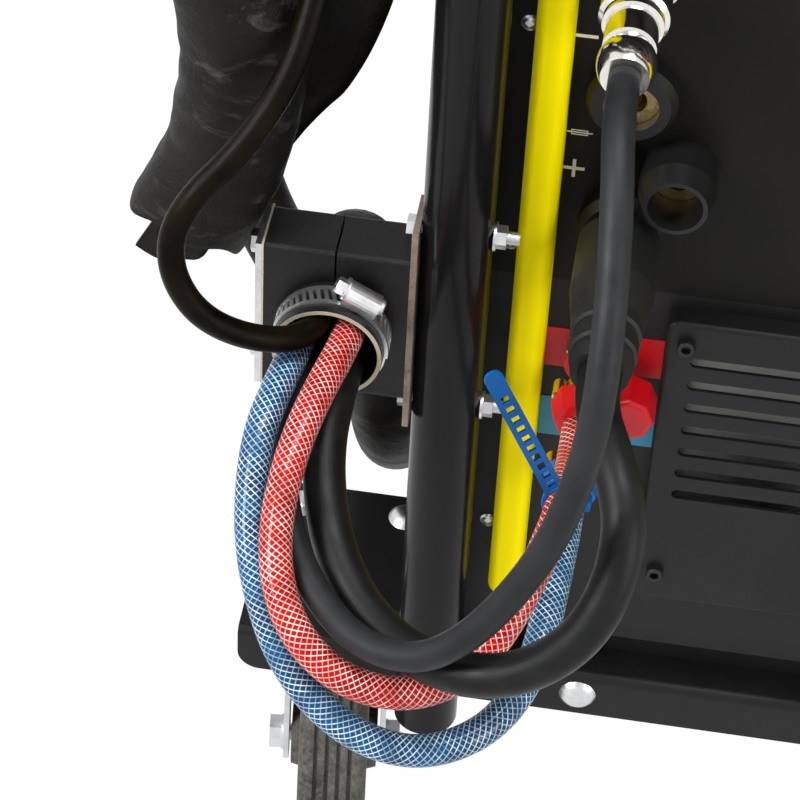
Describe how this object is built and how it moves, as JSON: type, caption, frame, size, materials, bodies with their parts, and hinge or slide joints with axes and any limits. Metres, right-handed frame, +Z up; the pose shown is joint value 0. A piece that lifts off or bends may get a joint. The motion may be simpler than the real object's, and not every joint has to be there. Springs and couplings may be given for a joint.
{
  "type": "mig welder",
  "caption": "Wheeled water-cooled MIG welder: cabinet on a trolley, wire feeder on top, frame tube with a pipe clamp for the hose package, plugged cables and coolant hoses.",
  "frame": {"origin": "on the floor, below the middle of the machine's box without its free cords", "axes": "+Z up, -Y towards the connection side with the sockets, +X to the right seen from that side"},
  "size_m": [0.6328, 1.0676, 1.183],
  "materials": {
    "black_gloss_paint": "gloss black powder coat",
    "grey_paint": "satin dark grey powder coat",
    "black_panel": "satin black front foil",
    "feeder_paint": "satin dark grey powder coat",
    "yellow_trim": "glossy yellow",
    "zinc": "zinc plated",
    "bright_steel": "bright",
    "plug_chrome": "polished",
    "bare_steel": "bare, lightly rusted edges",
    "castor_tread": "worn, dusty",
    "rear_tyre": "matt",
    "black_plastic": "grained",
    "switch_red": "glossy red",
    "collar_blue": "glossy blue",
    "brass": "turned",
    "tank_plastic": "natural, holds the coolant",
    "module_aluminium": "satin",
    "pump_iron": "painted dark grey",
    "plug_rubber": "moulded",
    "cable_rubber": "matt",
    "hose_red": "clear red with white braid under the skin",
    "hose_blue": "clear blue with white braid under the skin",
    "tie_blue": "satin",
    "leather": "worn, wrinkled"
  },
  "bodies": {
    "trolley": {"bottle_bracket": "feeder_paint", "cabinet_cover": "grey_paint", "cable_tie": "tie_blue", "castor_plates": "zinc", "clamp_cover_plate": "zinc", "clamp_half_inner": "black_plastic", "clamp_half_outer": "black_plastic", "control_cable": "cable_rubber", "control_panel": "black_panel", "control_plug": "plug_chrome", "control_socket": "plug_chrome", "coolant_hose_blue": "hose_blue", "coolant_hose_red": "hose_red", "coolant_pump": "pump_iron", "coolant_tank": "tank_plastic", "cooler_panel": "grey_paint", "coupling_nipples": "brass", "drive_unit": "module_aluminium", "dust_cap_red": "switch_red", "feeder_case": "feeder_paint", "feeder_handle": "black_plastic", "frame_tube": "black_gloss_paint", "front_trim_left": "yellow_trim", "front_trim_right": "yellow_trim", "gas_hose": "cable_rubber", "gas_hose_fitting": "zinc", "hose_clamp": "bright_steel", "hose_package": "cable_rubber", "jacket_end_sleeve": "black_plastic", "jacket_flap": "leather", "leather_jacket": "leather", "output_panel": "black_panel", "panel_sockets": "black_plastic", "power_cable": "cable_rubber", "power_module": "module_aluminium", "power_plug": "plug_rubber", "rear_axle": "zinc", "rear_panel": "grey_paint", "socket_contacts": "brass", "strain_relief_bolts": "zinc", "torch_socket": "brass", "trolley_base": "grey_paint", "trolley_bolts": "zinc", "tube_plate": "bare_steel"},
    "castor_left": {"castor_fork_left": "zinc"},
    "castor_right": {"castor_fork_right": "zinc"},
    "castor_left_roller": {"castor_wheel_left": "castor_tread"},
    "castor_right_roller": {"castor_wheel_right": "castor_tread"},
    "wheel_left": {"rear_wheel_left": "rear_tyre"},
    "wheel_right": {"rear_wheel_right": "rear_tyre"},
    "setting_knob_left": {"knob_left": "black_plastic"},
    "setting_knob_right": {"knob_right": "black_plastic"},
    "main_switch": {"mains_switch": "switch_red"},
    "collar_red": {"coupling_collar_red": "switch_red"},
    "collar_blue": {"coupling_collar_blue": "collar_blue"},
    "fan": {"cooling_fan": "black_plastic"},
    "tank_cap": {"filler_cap": "black_plastic"},
    "door": {"feeder_door": "feeder_paint"},
    "spool": {"wire_spool": "black_plastic"},
    "roll": {"drive_roll": "bright_steel"}
  },
  "joints": [
    {"name": "castor_left_swivel", "type": "hinge", "parent": "trolley", "child": "castor_left", "pos_m": [-0.209, -0.34, 0.15], "axis": [0, 0, 1], "continuous": true},
    {"name": "castor_right_swivel", "type": "hinge", "parent": "trolley", "child": "castor_right", "pos_m": [0.209, -0.34, 0.15], "axis": [0, 0, 1], "continuous": true},
    {"name": "castor_left_spin", "type": "hinge", "parent": "castor_left", "child": "castor_left_roller", "pos_m": [-0.20364, -0.38367, 0.0625], "axis": [0.9925, 0.1219, 0], "continuous": true},
    {"name": "castor_right_spin", "type": "hinge", "parent": "castor_right", "child": "castor_right_roller", "pos_m": [0.20364, -0.38367, 0.0625], "axis": [0.9925, -0.1219, 0], "continuous": true},
    {"name": "wheel_left_spin", "type": "hinge", "parent": "trolley", "child": "wheel_left", "pos_m": [-0.18, 0.328, 0.125], "axis": [1, 0, 0], "continuous": true},
    {"name": "wheel_right_spin", "type": "hinge", "parent": "trolley", "child": "wheel_right", "pos_m": [0.18, 0.328, 0.125], "axis": [1, 0, 0], "continuous": true},
    {"name": "knob_left_turn", "type": "hinge", "parent": "trolley", "child": "setting_knob_left", "pos_m": [-0.07, -0.395, 0.704], "axis": [0, -1, 0], "range_deg": [-150, 150]},
    {"name": "knob_right_turn", "type": "hinge", "parent": "trolley", "child": "setting_knob_right", "pos_m": [-0.01, -0.395, 0.704], "axis": [0, -1, 0], "range_deg": [-150, 150]},
    {"name": "mains_switch_turn", "type": "hinge", "parent": "trolley", "child": "main_switch", "pos_m": [0.07, -0.395, 0.704], "axis": [0, -1, 0], "range_deg": [0, 90]},
    {"name": "collar_red_release", "type": "slide", "parent": "trolley", "child": "collar_red", "axis": [0, 1, 0], "range_m": [0, 0.003]},
    {"name": "collar_blue_release", "type": "slide", "parent": "trolley", "child": "collar_blue", "axis": [0, 1, 0], "range_m": [0, 0.003]},
    {"name": "fan_spin", "type": "hinge", "parent": "trolley", "child": "fan", "pos_m": [0, 0.15, 0.558], "axis": [0, 1, 0], "continuous": true},
    {"name": "filler_cap_turn", "type": "hinge", "parent": "trolley", "child": "tank_cap", "pos_m": [0.07, -0.4, 0.26], "axis": [0, -1, 0], "range_deg": [0, 90]},
    {"name": "feeder_door_swing", "type": "hinge", "parent": "trolley", "child": "door", "pos_m": [0.1295, 0.1616, 0.962], "axis": [0, 0, 1], "range_deg": [0, 110]},
    {"name": "spool_spin", "type": "hinge", "parent": "trolley", "child": "spool", "pos_m": [0.05, 0.01, 0.96], "axis": [1, 0, 0], "continuous": true},
    {"name": "drive_roll_spin", "type": "hinge", "parent": "trolley", "child": "roll", "pos_m": [0.0018, -0.235, 0.905], "axis": [1, 0, 0], "continuous": true}
  ],
  "couplings": [
    {"joint": "drive_roll_spin", "follows": "spool_spin", "ratio": -6.6486}
  ]
}
